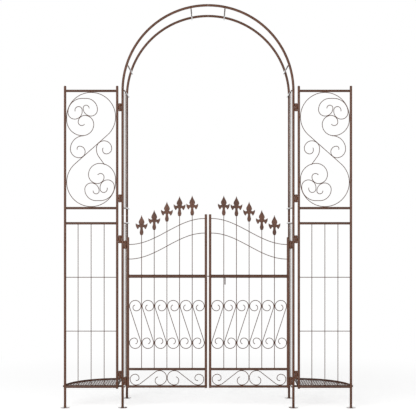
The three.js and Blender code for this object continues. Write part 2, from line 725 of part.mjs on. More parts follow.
addPair("wing_post_inner", wingInnerPost(), brown);
addPair("wing_post_outer", wingOuterPost(), brown);
addPair("wing_scroll_panel", wingScrollPanel(), wireBrown);
addPair("wing_grid_panel", wingGridPanel(), wireBrown);
addPair("corner_tray", tray(), brown);

add("gate_stile_inner_right", innerStile(true), brown);
add("gate_stile_inner_left", innerStile(false), brown, true);
addPair("gate_stile_outer", outerStile(), brown);
add("gate_grille_right", gateGrille(true), wireBrown);
add("gate_grille_left", gateGrille(false), wireBrown, true);
addPair("gate_bottom_panel", gateBottomPanel(), wireBrown);
picketXs().forEach((x, i) => addPair(`finial_${i + 1}`, finial(x, FINIAL_BOTTOMS[i]), castBrown));
GATE_HINGES_Z.forEach((z, i) => addPair(`gate_hinge_pin_${["low", "high"][i]}`, gateHingePin(z), zinc));
add("latch_bolt", latchBolt(), zinc);

export default arch;
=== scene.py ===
"""Looks of the garden trellis arch: powder-coated tube and wire, cast finials and meshed trays."""

import json
import math
import random

import bmesh
import bpy
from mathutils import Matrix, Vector, noise


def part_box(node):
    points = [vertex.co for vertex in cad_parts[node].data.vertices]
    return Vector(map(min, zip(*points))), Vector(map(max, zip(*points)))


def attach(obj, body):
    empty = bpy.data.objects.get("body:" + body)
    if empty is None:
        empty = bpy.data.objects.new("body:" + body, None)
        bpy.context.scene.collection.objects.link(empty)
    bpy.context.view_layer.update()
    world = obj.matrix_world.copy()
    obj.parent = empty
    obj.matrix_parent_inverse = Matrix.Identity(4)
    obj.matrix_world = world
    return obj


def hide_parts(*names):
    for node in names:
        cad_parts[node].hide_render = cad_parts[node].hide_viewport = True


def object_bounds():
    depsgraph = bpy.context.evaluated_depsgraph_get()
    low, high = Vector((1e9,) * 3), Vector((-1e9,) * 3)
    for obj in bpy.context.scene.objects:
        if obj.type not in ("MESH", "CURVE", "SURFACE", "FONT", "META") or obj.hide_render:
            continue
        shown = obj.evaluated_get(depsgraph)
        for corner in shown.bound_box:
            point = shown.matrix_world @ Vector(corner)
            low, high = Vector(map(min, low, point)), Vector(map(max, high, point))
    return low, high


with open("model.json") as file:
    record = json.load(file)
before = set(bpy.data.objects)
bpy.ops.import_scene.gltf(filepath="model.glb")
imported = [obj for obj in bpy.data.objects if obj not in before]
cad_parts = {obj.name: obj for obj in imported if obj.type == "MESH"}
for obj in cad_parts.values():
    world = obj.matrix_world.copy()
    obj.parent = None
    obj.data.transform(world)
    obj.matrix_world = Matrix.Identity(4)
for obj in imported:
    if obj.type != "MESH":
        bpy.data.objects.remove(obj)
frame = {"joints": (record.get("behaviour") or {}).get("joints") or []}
cad_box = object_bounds()
random.seed(11)

# ---- Sizes, in metres ---------------------------------------------------------------------------

TUBE_R = 0.007
MID_RAIL_R = 0.00925
MID_RAIL_WALL = 0.0015
CROSS_R = 0.004
WIRE_R = 0.002
TRAY_TUBE_R = 0.006
HINGE_R = 0.0081
PIN_R = 0.003
BOLT_R = 0.003
BOLT_PLAY = 0.0007
BOLT_TRAVEL = 0.02
BOLT_BEND = 0.007
GAP = 0.0003  # between separate pieces
EASE = 0.0006  # how far a tube's sharp ends are rounded
CAP_H = 0.004
BITE = 0.0004  # how far a wire sinks into what it is welded to
TUBE_SIDES = 32
ROD_SIDES = 24
PICKET_SIDES = 16
WIRE_SIDES = 12
CURVE_STEP = 0.003  # length of one straight piece of a bent wire


def low(node):
    return Vector(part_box(node)[0])


def high(node):
    return Vector(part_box(node)[1])


def centre(node):
    return (low(node) + high(node)) / 2


# Places on the right half, from the CAD boxes where they show them
FRONT_Y = centre("wing_post_outer_right").y
REAR_Y = centre("post_lower_rear_right").y
POST_X = centre("post_lower_rear_right").x
WING_OUTER_X = centre("wing_post_outer_right").x
WING_INNER_X = low("wing_scroll_panel_right").x - TUBE_R - GAP
WING_X = (WING_INNER_X + WING_OUTER_X) / 2
WING_TOP_RAIL_Z = high("wing_scroll_panel_right").z - TUBE_R
WING_UPPER_RAIL_Z = low("wing_scroll_panel_right").z + TUBE_R
WING_LOWER_RAIL_Z = high("wing_grid_panel_right").z - TUBE_R
WING_BOTTOM_RAIL_Z = low("wing_grid_panel_right").z + TUBE_R
WING_CROSS_WIRES = (0.436, 0.743)
SCROLL_Z = (WING_TOP_RAIL_Z + WING_UPPER_RAIL_Z) / 2
CROSS_X = POST_X - TUBE_R - CROSS_R
BOW_R = POST_X
BOW_Z = cad_box[1][2] - BOW_R - TUBE_R
BOW_START = math.radians(0.66)
BOW_STEPS = 110
BOW_BARS = {"crown": 11.7, "shoulder": 72.9}  # degrees from the top

GATE_INNER_X = centre("gate_stile_inner_right").x
GATE_OUTER_X = high("gate_grille_right").x + TUBE_R + GAP
GATE_HINGE_X = abs(frame["joints"][0]["pos_m"][0])
MID_RAIL_Z = 0.749
LOW_RAIL_Z = high("gate_bottom_panel_right").z - TUBE_R
BOTTOM_RAIL_Z = low("gate_bottom_panel_right").z + TUBE_R
FINIALS = [f"finial_{i}" for i in range(1, 6)]
PICKET_XS = [centre(f"{name}_right").x for name in FINIALS]
PICKET_TOPS = [low(f"{name}_right").z for name in FINIALS]
WAVE_RISE = 0.148
WAVE_LOW_Z = (0.847, 0.930)
WAVE_STEPS = 110
SCROLL_ROW_Z = 0.4745
SCROLL_ROW_HALF = 0.1044
CURL_R = 0.0325
HINGE_H = 0.044
KNUCKLE_H = 0.013
TAB_HALF = 0.0025
GATE_HINGES_Z = [centre(f"gate_hinge_pin_{name}_right").z for name in ("low", "high")]
WING_HINGE_X = (POST_X + WING_INNER_X) / 2
WING_HINGES_Z = (0.188, 0.9596, 1.1926, 1.7117)
TRAY_Z = centre("corner_tray_right").z
TRAY_FRONT_Y = low("corner_tray_right").y + TRAY_TUBE_R
TRAY_R = high("corner_tray_right").y - TRAY_TUBE_R - FRONT_Y
MESH_PITCH = 0.028
MESH_R = 0.0013

# Weld blobs: radius, and how far each is squashed along x, y and z
WELDS = {
    "hinge": (0.0019, (0.9, 0.8, 1.2)),
    "cross_bar": (0.002, (1, 1, 1)),
    "ladder": (0.002, (0.9, 1, 1.4)),
    "upright": (0.0028, (1, 1, 0.8)),  # an upright bar on a rail
    "crossing": (0.0023, (1, 1, 1)),  # one wire over another
    "wire_end": (0.0026, (0.8, 1, 1)),  # a level wire's end on a post
    "scrolls": (0.0026, (1.2, 0.8, 1.2)),  # two scrolls side by side
    "scroll_post": (0.0024, (0.8, 0.9, 1.8)),
    "scroll_row": (0.002, (1, 0.9, 1.9)),
    "scroll_rail": (0.0026, (1.6, 0.9, 0.9)),
    "scroll_pair": (0.0024, (0.9, 0.9, 1.6)),
    "tray": (0.0024, (1.2, 1, 1.2)),
}
WELD_LUMPS = 0.22  # how uneven a blob is, as a share of its radius
WELD_GRAIN = 1.4  # how many lumps it has
BEAD_R = 0.0013
BEAD_RIPPLE = 0.3  # how uneven a bead is
BEAD_GRAIN = 3
BEAD_FLAT = 0.7
BEAD_SIDES = 36
BEAD_AROUND = 8

# ---- Materials ----------------------------------------------------------------------------------

# Noise scales of the coat's colour, its sheen and its orange peel, and how deep the peel is
MOTTLE_SCALE = 14.0
SHEEN_SCALE = 90.0
PEEL_SCALE = 900.0
PEEL_DEPTH = 0.00006


def srgb(red, green, blue):
    def linear(value):
        value /= 255
        return value / 12.92 if value <= 0.04045 else ((value + 0.055) / 1.055) ** 2.4

    return (linear(red), linear(green), linear(blue), 1.0)


def powder_coat(name, dark, light, roughness=0.5, coat=0.0):
    """Satin powder coat: mottled brown, with a fine orange-peel surface."""
    material = bpy.data.materials.new(name)
    material.use_nodes = True
    nodes = material.node_tree.nodes
    links = material.node_tree.links
    shader = nodes["Principled BSDF"]
    place = nodes.new("ShaderNodeTexCoord").outputs["Object"]

    def grain(scale, detail):
        node = nodes.new("ShaderNodeTexNoise")
        node.inputs["Scale"].default_value = scale
        node.inputs["Detail"].default_value = detail
        links.new(place, node.inputs["Vector"])
        return node.outputs["Fac"]

    ramp = nodes.new("ShaderNodeValToRGB")
    ramp.color_ramp.elements[0].position = 0.25
    ramp.color_ramp.elements[0].color = dark
    ramp.color_ramp.elements[1].position = 0.75
    ramp.color_ramp.elements[1].color = light
    links.new(grain(MOTTLE_SCALE, 4.0), ramp.inputs["Fac"])
    links.new(ramp.outputs["Color"], shader.inputs["Base Color"])

    spread = nodes.new("ShaderNodeMapRange")
    spread.inputs["To Min"].default_value = roughness - 0.07
    spread.inputs["To Max"].default_value = roughness + 0.1
    links.new(grain(SHEEN_SCALE, 3.0), spread.inputs["Value"])
    links.new(spread.outputs["Result"], shader.inputs["Roughness"])

    bump = nodes.new("ShaderNodeBump")
    bump.inputs["Strength"].default_value = 0.12
    bump.inputs["Distance"].default_value = PEEL_DEPTH
    links.new(grain(PEEL_SCALE, 2.0), bump.inputs["Height"])
    links.new(bump.outputs["Normal"], shader.inputs["Normal"])

    shader.inputs["Coat Weight"].default_value = coat
    shader.inputs["Coat Roughness"].default_value = 0.12
    return material


MATERIALS = {
    "tube": powder_coat("tube_coat", srgb(84, 49, 29), srgb(98, 59, 38)),
    "wirework": powder_coat("wire_coat", srgb(76, 46, 30), srgb(90, 57, 40)),
    "finial": powder_coat("cast_coat", srgb(68, 40, 28), srgb(106, 68, 50)),
    "tray": powder_coat("tray_coat", srgb(74, 44, 30), srgb(92, 57, 40)),
    "foot": powder_coat(
        "foot_coat", srgb(84, 60, 48), srgb(104, 78, 64), roughness=0.2, coat=1.0
    ),
    "pin": powder_coat("pin_coat", srgb(64, 38, 25), srgb(80, 50, 35)),
    "bolt": powder_coat("bolt_coat", srgb(76, 48, 34), srgb(92, 60, 44), roughness=0.28),
    # Painted reflection: the depth bars and side grids have the same brown coat as the tubes, but this
    # paler, greyer base colour stands in for the white backdrop they reflect at grazing angles; the
    # clear coat and low roughness give real reflections on top
    "depth_bar_painted_reflection": powder_coat(
        "bar_coat_painted_reflection", srgb(108, 92, 84), srgb(132, 116, 108), roughness=0.2, coat=1.0
    ),
}

# ---- Paths --------------------------------------------------------------------------------------


def chain(x, z, heading, moves):
    """Points of straight runs (length,) and arcs (radius, degrees) in a plane; positive turns left."""
    heading = math.radians(heading)
    points = [Vector((x, z))]
    for move in moves:
        start = points[-1]
        if len(move) == 1:
            steps = max(1, round(move[0] / (4 * CURVE_STEP)))
            ahead = Vector((math.cos(heading), math.sin(heading)))
            points += [start + ahead * (move[0] * i / steps) for i in range(1, steps + 1)]
            continue
        radius, turn = move[0], math.radians(move[1])
        side = math.copysign(1, turn)
        middle = start + Vector((-math.sin(heading), math.cos(heading))) * (side * radius)
        steps = max(3, round(abs(turn) * radius / CURVE_STEP), round(abs(turn) / 0.2))
        for i in range(1, steps + 1):
            angle = heading + turn * i / steps - side * math.pi / 2
            points.append(middle + Vector((math.cos(angle), math.sin(angle))) * radius)
        heading += turn
    return points


def both_ways(backwards, forwards):
    """One run of points from two that start at the same place and leave it in opposite directions."""
    return backwards[:0:-1] + forwards


def half_turned(points):
    return [-point for point in points]


def circle(radius, first, last, steps):
    """Points of an arc about the origin, angles in radians."""
    angles = [first + (last - first) * i / steps for i in range(steps + 1)]
    return [Vector((math.cos(angle), math.sin(angle))) * radius for angle in angles]


# ---- Surfaces -----------------------------------------------------------------------------------

TIP = ((0.5, 0.36), (0.85, 0.15), (1, 0.6))  # rings at a bar's cut end: size, and how far in


def random_shift():
    """A random place in the noise."""
    return Vector((random.random(), random.random(), random.random())) * 50


def about(axis, along, a, b):
    """The offset of a point that lies along an axis and (a, b) across it."""
    return Vector({"z": (a, b, along), "x": (along, a, b), "y": (a, along, b)}[axis])


def closed_mesh(name, verts, faces):
    """A mesh with all its faces turned outwards."""
    mesh = bpy.data.meshes.new(name)
    mesh.from_pydata([tuple(vert) for vert in verts], [], faces)
    bm = bmesh.new()
    bm.from_mesh(mesh)
    bmesh.ops.recalc_face_normals(bm, faces=bm.faces)
    bm.to_mesh(mesh)
    bm.free()
    return mesh


def placed(name, data):
    """A new object in the scene."""
    obj = bpy.data.objects.new(name, data)
    bpy.context.scene.collection.objects.link(obj)
    return obj


def evaluated_mesh(obj):
    """The mesh of an object with its modifiers and bevels applied."""
    bpy.context.view_layer.update()
    graph = bpy.context.evaluated_depsgraph_get()
    return bpy.data.meshes.new_from_object(obj.evaluated_get(graph))


class Surface:
    """The surface of one piece. side is 1 on the right and -1 on the left, where x is mirrored."""

    def __init__(self, side=1):
        self.side = side
        self.verts = []
        self.faces = []

    def rings(self, rings):
        """Joins rings of points into a closed skin."""
        first = len(self.verts)
        sides = len(rings[0])
        for ring in rings:
            self.verts += ring
        for i in range(len(rings) - 1):
            a = first + i * sides
            for j in range(sides):
                k = (j + 1) % sides
                self.faces.append((a + j, a + k, a + sides + k, a + sides + j))
        self.faces.append(tuple(range(first, first + sides)))
        last = first + (len(rings) - 1) * sides
        self.faces.append(tuple(range(last, last + sides)))

    def sweep(self, path, radius, up=(0, 1, 0), sides=WIRE_SIDES, flatten=1.0, end=0.7):
        """A round bar along a path in the plane across up. end is how far its tips are rounded."""
        up = Vector(up)
        angles = [2 * math.pi * j / sides for j in range(sides)]
        last = len(path) - 1
        rings = []

        def ring(middle, along, size=1.0):
            out = along.cross(up) * (radius * size)
            rise = up * (radius * size * flatten)
            rings.append([middle + out * math.cos(a) + rise * math.sin(a) for a in angles])

        for i, point in enumerate(path):
            along = (path[min(i + 1, last)] - path[max(i - 1, 0)]).normalized()
            inward = along * (radius * end)
            if i == 0:
                for size, inset in TIP:
                    ring(point + inward * inset, along, size)
            elif i == last:
                for size, inset in reversed(TIP):
                    ring(point - inward * inset, along, size)
            else:
                ring(point, along)
        self.rings(rings)

    def flat_path(self, points, radius, y=FRONT_Y, **options):
        """A wire along points (x, z) in a plane facing front."""
        self.sweep([Vector((point[0], y, point[1])) for point in points], radius, **options)

    def turn(self, profile, x, y, z=0.0, sides=TUBE_SIDES, axis="z"):
        """A profile of (radius, distance) turned about an axis through a point."""
        angles = [2 * math.pi * j / sides for j in range(sides)]
        place = Vector((x, y, z))
        self.rings([
            [place + about(axis, along, math.cos(a) * radius, math.sin(a) * radius) for a in angles]
            for radius, along in profile
        ])

    def tube(self, axis, start, length, radius, ease=EASE, sides=TUBE_SIDES):
        """A straight tube with closed, eased ends."""
        corner = ease * 0.3
        profile = [
            (radius * 0.6, 0), (radius - ease, 0), (radius - corner, corner), (radius, ease),
            (radius, length - ease), (radius - corner, length - corner), (radius - ease, length),
            (radius * 0.6, length),
        ]
        self.turn(profile, *start, sides=sides, axis=axis)

    def sleeve(self, axis, start, length, radius, bore):
        """A straight tube open at both ends."""
        first = len(self.verts)
        profile = [
            (bore, 0), (radius - EASE, 0), (radius, EASE),
            (radius, length - EASE), (radius - EASE, length), (bore, length),
        ]
        self.turn(profile, *start, axis=axis)
        del self.faces[-2:]
        last = first + (len(profile) - 1) * TUBE_SIDES
        for j in range(TUBE_SIDES):
            k = (j + 1) % TUBE_SIDES
            self.faces.append((last + j, last + k, first + k, first + j))

    def cut(self, tool):
        """Takes another surface's solid out of this one."""
        body = placed("cut", closed_mesh("cut", self.verts, self.faces))
        cutter = placed("cut", closed_mesh("cut", tool.verts, tool.faces))
        boolean = body.modifiers.new("cut", "BOOLEAN")
        boolean.operation = "DIFFERENCE"
        boolean.solver = "EXACT"
        boolean.object = cutter
        result = evaluated_mesh(body)
        self.verts = [vert.co.copy() for vert in result.vertices]
        self.faces = [tuple(polygon.vertices) for polygon in result.polygons]
        for obj in (body, cutter):
            bpy.data.objects.remove(obj)

    def take(self, bm):
        """Adds the faces of a bmesh, and frees it."""
        first = len(self.verts)
        bm.verts.index_update()
        self.verts += [vert.co.copy() for vert in bm.verts]
        self.faces += [tuple(first + vert.index for vert in face.verts) for face in bm.faces]
        bm.free()

    def weld(self, kind, x, y, z):
        """A small uneven blob of weld under the paint."""
        size, squash = WELDS[kind]
        shift = random_shift()
        bm = bmesh.new()
        bmesh.ops.create_icosphere(bm, subdivisions=2, radius=size)
        for vert in bm.verts:
            lump = 1 + WELD_LUMPS * noise.noise(vert.co * (WELD_GRAIN / size) + shift)
            offset = Vector([value * share for value, share in zip(vert.co, squash)]) * lump
            vert.co = Vector((x, y, z)) + offset
        self.take(bm)

    def weld_ring(self, axis, x, y, z, radius):
        """An uneven bead round a bar where it meets another."""
        first = len(self.verts)
        shift = random_shift()
        for i in range(BEAD_SIDES):
            angle = 2 * math.pi * i / BEAD_SIDES
            place = Vector((math.cos(angle), math.sin(angle), 0)) * BEAD_GRAIN
            ripple = BEAD_R * (1 + BEAD_RIPPLE * noise.noise(place + shift))
            for j in range(BEAD_AROUND):
                turn = 2 * math.pi * j / BEAD_AROUND
                out = radius + ripple * math.cos(turn) * BEAD_FLAT
                across = (math.cos(angle) * out, math.sin(angle) * out)
                offset = about(axis, ripple * math.sin(turn), *across)
                self.verts.append(Vector((x, y, z)) + offset)
        for i in range(BEAD_SIDES):
            here = first + i * BEAD_AROUND
            there = first + (i + 1) % BEAD_SIDES * BEAD_AROUND
            for j in range(BEAD_AROUND):
                k = (j + 1) % BEAD_AROUND
                self.faces.append((here + j, here + k, there + k, there + j))

    def plate(self, x0, x1, y0, y1, z0, z1, ease=0.0004):
        """A small plate with eased edges."""
        bm = bmesh.new()
        bmesh.ops.create_cube(bm, size=1)
        for vert in bm.verts:
            vert.co.x = x0 if vert.co.x < 0 else x1
            vert.co.y = y0 if vert.co.y < 0 else y1
            vert.co.z = z0 if vert.co.z < 0 else z1
        bmesh.ops.bevel(bm, geom=list(bm.edges), offset=ease, segments=2, affect="EDGES")
        self.take(bm)

    def finish(self, node, slot, body="arch", look=None):
        """Makes the object, puts it on its body and has it stand for the CAD node."""
        verts = [(vert.x * self.side, vert.y, vert.z) for vert in self.verts]
        mesh = closed_mesh(f"{node}_skin", verts, self.faces)
        mesh.polygons.foreach_set("use_smooth", [True] * len(mesh.polygons))
        mesh.set_sharp_from_angle(angle=math.radians(38))
        mesh.materials.append(MATERIALS[look or slot])
        obj = placed(f"{node}_skin", mesh)
        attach(obj, body)
        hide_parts(node)


# ---- Arch ---------------------------------------------------------------------------------------


def foot(node, side, x, y):
    """A round flange, with a fillet of weld up to the post."""
    surface = Surface(side)
    size = (high(node).x - low(node).x) / 2
    flange = [(0.004, 0), (size - EASE, 0), (size, EASE), (size, 0.0018), (size - 0.0008, 0.0025)]
    fillet = [(TUBE_R + out, z) for out, z in ((0.0028, 0.0027), (0.0012, 0.0034), (0.0003, 0.0052))]
    surface.turn([*flange, *fillet, (0.004, 0.0053)], x, y, sides=48)
    surface.finish(node, "foot")


def knuckle(surface, axis_x, tube_x, z0, height):
    """One barrel of a hinge, with the tab that joins it to a tube and the weld along the tab."""
    surface.tube("z", (axis_x, FRONT_Y, z0), height, HINGE_R, ease=0.0005, sides=ROD_SIDES)
    near, far = sorted((axis_x, tube_x))
    ys = (FRONT_Y - TAB_HALF, FRONT_Y + TAB_HALF)
    surface.plate(near, far, *ys, z0 + 0.0004, z0 + height - 0.0004)
    seam_x = tube_x + math.copysign(TUBE_R, axis_x - tube_x)
    for y in (FRONT_Y - 0.0028, FRONT_Y + 0.0028):
        for share in (0.14, 0.38, 0.62, 0.86):
            surface.weld("hinge", seam_x, y, z0 + height * share)


def outer_knuckles(surface, axis_x, tube_x, z):
    for z0 in (z - HINGE_H / 2, z + HINGE_H / 2 - KNUCKLE_H):
        knuckle(surface, axis_x, tube_x, z0, KNUCKLE_H)


def middle_knuckle(surface, axis_x, tube_x, z):
    height = HINGE_H - 2 * KNUCKLE_H - 2 * GAP
    knuckle(surface, axis_x, tube_x, z - height / 2, height)


def wing_hinge(surface, z):
    """The arch's part of a wing hinge, with its pin."""
    outer_knuckles(surface, WING_HINGE_X, POST_X, z)
    start = (WING_HINGE_X, FRONT_Y, z - HINGE_H / 2 - 0.0012)
    surface.tube("z", start, HINGE_H + 0.0024, PIN_R, sides=PICKET_SIDES)


def arch_posts(side, word, where, y):
    """A lower post and the upper one that stands on it."""
    node = f"post_lower_{where}_{word}"
    surface = Surface(side)
    foot_z, joint_z = low(node).z, high(node).z
    surface.tube("z", (POST_X, y, foot_z), joint_z - foot_z, TUBE_R)
    if where == "front":
        for z in GATE_HINGES_Z:
            outer_knuckles(surface, GATE_HINGE_X, POST_X, z)
        for z in WING_HINGES_Z[:2]:
            wing_hinge(surface, z)
    surface.finish(node, "tube")

    node = f"post_upper_{where}_{word}"
    surface = Surface(side)
    top = BOW_Z + BOW_R * math.sin(BOW_START) - GAP
    surface.tube("z", (POST_X, y, joint_z + GAP), top - joint_z - GAP, TUBE_R)
    if where == "front":
        for z in WING_HINGES_Z[2:]:
            wing_hinge(surface, z)
    surface.finish(node, "tube")


def bow(side, word, where, y):
    surface = Surface(side)
    end = math.pi / 2 - GAP / 2 / BOW_R
    arc = circle(BOW_R, BOW_START, end, BOW_STEPS)
    path = [Vector((point.x, y, BOW_Z + point.y)) for point in arc]
    surface.sweep(path, TUBE_R, sides=TUBE_SIDES, end=0.12)
    surface.finish(f"bow_{where}_{word}", "tube")


def cross_bar(surface, x, z, weld_x, weld_z):
    """A round bar from the front tube to the rear one, with weld on both sides of each."""
    length = REAR_Y - FRONT_Y + 2 * TUBE_R
    surface.tube("y", (x, FRONT_Y - TUBE_R, z), length, CROSS_R, ease=0.0009, sides=ROD_SIDES)
    for y in (FRONT_Y, REAR_Y):
        for away in (-0.00416, 0.00416):
            surface.weld("cross_bar", x + weld_x * CROSS_R, y + away, z + weld_z * CROSS_R)


def bow_bar(side, word, place, degrees):
    surface = Surface(side)
    angle = math.radians(degrees)
    x = CROSS_X * math.sin(angle)
    z = BOW_Z + CROSS_X * math.cos(angle)
    cross_bar(surface, x, z, math.sin(angle), math.cos(angle))
    # The pale coat's colour is a painted reflection of the white backdrop
    surface.finish(f"bow_bar_{place}_{word}", "tube", look="depth_bar_painted_reflection")


def side_grid(side, word, part):
    node = f"side_grid_{part}_{word}"
    bars = (low(node).z + CROSS_R, high(node).z - CROSS_R)
    surface = Surface(side)
    for z in bars:
        cross_bar(surface, CROSS_X, z, 1, 0)
    wire_x = CROSS_X + CROSS_R + WIRE_R - 0.0006
    spare = 0.003
    height = bars[1] - bars[0] + 2 * spare
    for share in (1 / 3, 2 / 3):
        y = FRONT_Y + (REAR_Y - FRONT_Y) * share
        surface.tube("z", (wire_x, y, bars[0] - spare), height, WIRE_R, sides=PICKET_SIDES)
        for z in bars:
            for shift in (-0.0016, 0.0016):
                surface.weld("ladder", wire_x - 0.001, y + shift, z)
    # The pale coat's colour is a painted reflection of the white backdrop
    surface.finish(node, "wirework", look="depth_bar_painted_reflection")


# ---- Wings --------------------------------------------------------------------------------------


def capped_post(surface, x, node):
    """An upright tube as high as a CAD node, with a shallow domed cap pushed in at the top."""
    z0, height = low(node).z, high(node).z - low(node).z
    rim = height - CAP_H
    seam = 0.0004
    profile = [
        (TUBE_R * 0.5, 0), (TUBE_R - EASE, 0), (TUBE_R, 0.0007),
        (TUBE_R, rim - 0.0005), (TUBE_R - seam, rim - 0.0001), (TUBE_R - seam, rim + 0.0001),
    ]
    for i in range(9):
        angle = i / 9 * math.pi / 2
        profile.append((TUBE_R * math.cos(angle) ** 0.7, rim + seam + (CAP_H - seam) * math.sin(angle)))
    profile.append((TUBE_R * 0.12, height))
    surface.turn(profile, x, FRONT_Y, z0)


def wing_post_inner(side, word):
    node = f"wing_post_inner_{word}"
    surface = Surface(side)
    capped_post(surface, WING_INNER_X, node)
    for z in WING_HINGES_Z:
        middle_knuckle(surface, WING_HINGE_X, WING_INNER_X, z)
    surface.finish(node, "tube")


def wing_post_outer(side, word):
    node = f"wing_post_outer_{word}"
    surface = Surface(side)
    capped_post(surface, WING_OUTER_X, node)
    surface.finish(node, "tube")


def rail(surface, x0, x1, z):
    """A level tube from post to post, run into both and welded round."""
    bite = TUBE_R * 0.55
    surface.tube("x", (x0 - bite, FRONT_Y, z), x1 - x0 + 2 * bite, TUBE_R)
    sunk = TUBE_R * 0.12
    for x in (x0 - sunk, x1 + sunk):
        surface.weld_ring("x", x, FRONT_Y, z, TUBE_R * 1.01)


BIG_R = 0.1391  # the two big curls of the S scroll
BIG_Z = 0.186  # and how far their middles are above and below the panel's
LEAN = math.degrees(math.asin(BIG_R / BIG_Z))


def wing_wires():
    """The panel's wires about its middle, with the arch on the side of positive x."""
    diagonal = math.sqrt(BIG_Z**2 - BIG_R**2)
    half = chain(0, 0, 90 - LEAN, [
        (diagonal,), (BIG_R, 180 + LEAN), (0.017,),
        (0.09, 90), (0.064, 90), (0.051, 90), (0.0375, 90), (0.02, 145),
    ])
    main = both_ways(half_turned(half), half)
    heart = both_ways(
        chain(-0.052, 0.2912, 180, [(0.08, 90), (0.038, 90), (0.043, 90), (0.008,), (0.0205, 200)]),
        chain(-0.052, 0.2912, 0, [(0.024,), (0.064, -90), (0.0365, -90), (0.045, -90), (0.017, -185)]),
    )
    small = chain(-0.043, 0.078, 180, [(0.075, 90), (0.05, 90), (0.034, 90), (0.032, 90), (0.014, 115)])
    back = chain(0.0746, -0.0841, 125.5, [
        (0.054,), (0.07, -35.5), (0.0055,),
        (0.0435, -180), (0.031, -90), (0.0205, -90), (0.006,), (0.014, -40),
    ])
    return [main, heart, half_turned(heart), small, back]


# Where wires meet, about the panel's middle; the paired ones are also there half turned
PAIRED_WELDS = ((0, 0.3262), (-0.1247, 0.2464), (-0.0175, 0.192), (-0.0634, 0.1842))
SMALL_SCROLL_WELDS = ((-0.044, 0.079), (-0.0451, -0.039), (0.0746, -0.0841), (0.0447, 0.0389))


def wing_scroll_panel(side, word):
    surface = Surface(side)
    x0, x1 = WING_INNER_X + TUBE_R, WING_OUTER_X - TUBE_R
    for z in (WING_TOP_RAIL_Z, WING_UPPER_RAIL_Z):
        rail(surface, x0, x1, z)
    for points in wing_wires():
        surface.flat_path([(WING_X - point.x, SCROLL_Z + point.y) for point in points], WIRE_R)
    for x, z in [*PAIRED_WELDS, *((-x, -z) for x, z in PAIRED_WELDS), *SMALL_SCROLL_WELDS]:
        surface.weld("scrolls", WING_X - x, FRONT_Y, SCROLL_Z + z)
    for way in (1, -1):
        for x in (x0 + 0.0008, x1 - 0.0008):
            surface.weld("scroll_post", x, FRONT_Y, SCROLL_Z + way * BIG_Z)
    surface.finish(f"wing_scroll_panel_{word}", "wirework")


def wing_grid_panel(side, word):
    surface = Surface(side)
    x0, x1 = WING_INNER_X + TUBE_R, WING_OUTER_X - TUBE_R
    for z in (WING_LOWER_RAIL_Z, WING_BOTTOM_RAIL_Z):
        rail(surface, x0, x1, z)
    bottom = WING_BOTTOM_RAIL_Z + TUBE_R
    top = WING_LOWER_RAIL_Z - TUBE_R
    uprights = [WING_INNER_X + (WING_OUTER_X - WING_INNER_X) * i / 4 for i in (1, 2, 3)]
    for x in uprights:
        start = (x, FRONT_Y, bottom - 0.002)
        surface.tube("z", start, top - bottom + 0.004, WIRE_R, sides=PICKET_SIDES)
        for z in (bottom, top):
            surface.weld("upright", x, FRONT_Y, z)
    for z in WING_CROSS_WIRES:
        start = (x0 - 0.001, FRONT_Y + 1.6 * WIRE_R, z)
        surface.tube("x", start, x1 - x0 + 0.002, WIRE_R, sides=PICKET_SIDES)
        for x in uprights:
            surface.weld("crossing", x, FRONT_Y + 0.8 * WIRE_R, z)
        for x in (x0, x1):
            surface.weld("wire_end", x, FRONT_Y + WIRE_R, z)
    surface.finish(f"wing_grid_panel_{word}", "wirework")


# ---- Corner trays -------------------------------------------------------------------------------


def chord(rise, slope, radius, front):
    """Ends of y = slope * x + rise inside the quarter circle, or None if it is too short."""
    points = []
    steps = 400
    for i in range(steps + 1):
        x = radius * i / steps
        y = slope * x + rise
        if front <= y and x * x + y * y <= radius * radius:
            points.append((x, y))
    return (points[0], points[-1]) if len(points) > 6 else None


def tray(side, word):
    """A quarter-round rim and two straight sides round a floor of crossing straps."""
    surface = Surface(side)
    x0, x1 = low("corner_tray_right").x, high("corner_tray_right").x
    level = (0, 0, 1)
    surface.tube("x", (x0, TRAY_FRONT_Y, TRAY_Z), x1 - x0, TRAY_TUBE_R, ease=0.0012)
    side_length = FRONT_Y + TRAY_R - TRAY_FRONT_Y + TRAY_TUBE_R
    surface.tube("y", (WING_INNER_X, TRAY_FRONT_Y, TRAY_Z), side_length, TRAY_TUBE_R, ease=0.0012)
    front = TRAY_FRONT_Y - FRONT_Y
    rim = circle(TRAY_R, math.asin(front / TRAY_R), math.pi / 2, 70)
    path = [Vector((WING_INNER_X + point.x, FRONT_Y + point.y, TRAY_Z)) for point in rim]
    surface.sweep(path, TRAY_TUBE_R, up=level, sides=ROD_SIDES)
    for x in (WING_INNER_X, path[0].x):
        surface.weld_ring("y", x, TRAY_FRONT_Y + TRAY_TUBE_R, TRAY_Z, TRAY_TUBE_R)
    surface.weld_ring("x", WING_INNER_X + TRAY_TUBE_R, path[-1].y, TRAY_Z, TRAY_TUBE_R)

    reach = int(2 * TRAY_R / MESH_PITCH)
    for i in range(-reach, reach + 1):
        for slope in (1, -1):
            ends = chord((i + 0.5) * MESH_PITCH, slope, TRAY_R - 0.002, front)
            if ends:
                z = TRAY_Z + 0.0003 * slope
                strap = [Vector((WING_INNER_X + x, FRONT_Y + y, z)) for x, y in ends]
                surface.sweep(strap, MESH_R, up=level, sides=6, flatten=0.7)
    for x in (WING_INNER_X, WING_OUTER_X):
        for away in (-0.003, 0.003):
            surface.weld("tray", x + away, FRONT_Y + TUBE_R, TRAY_Z + 0.002)
    surface.finish(f"corner_tray_{word}", "tray")


# ---- Gate leaves --------------------------------------------------------------------------------


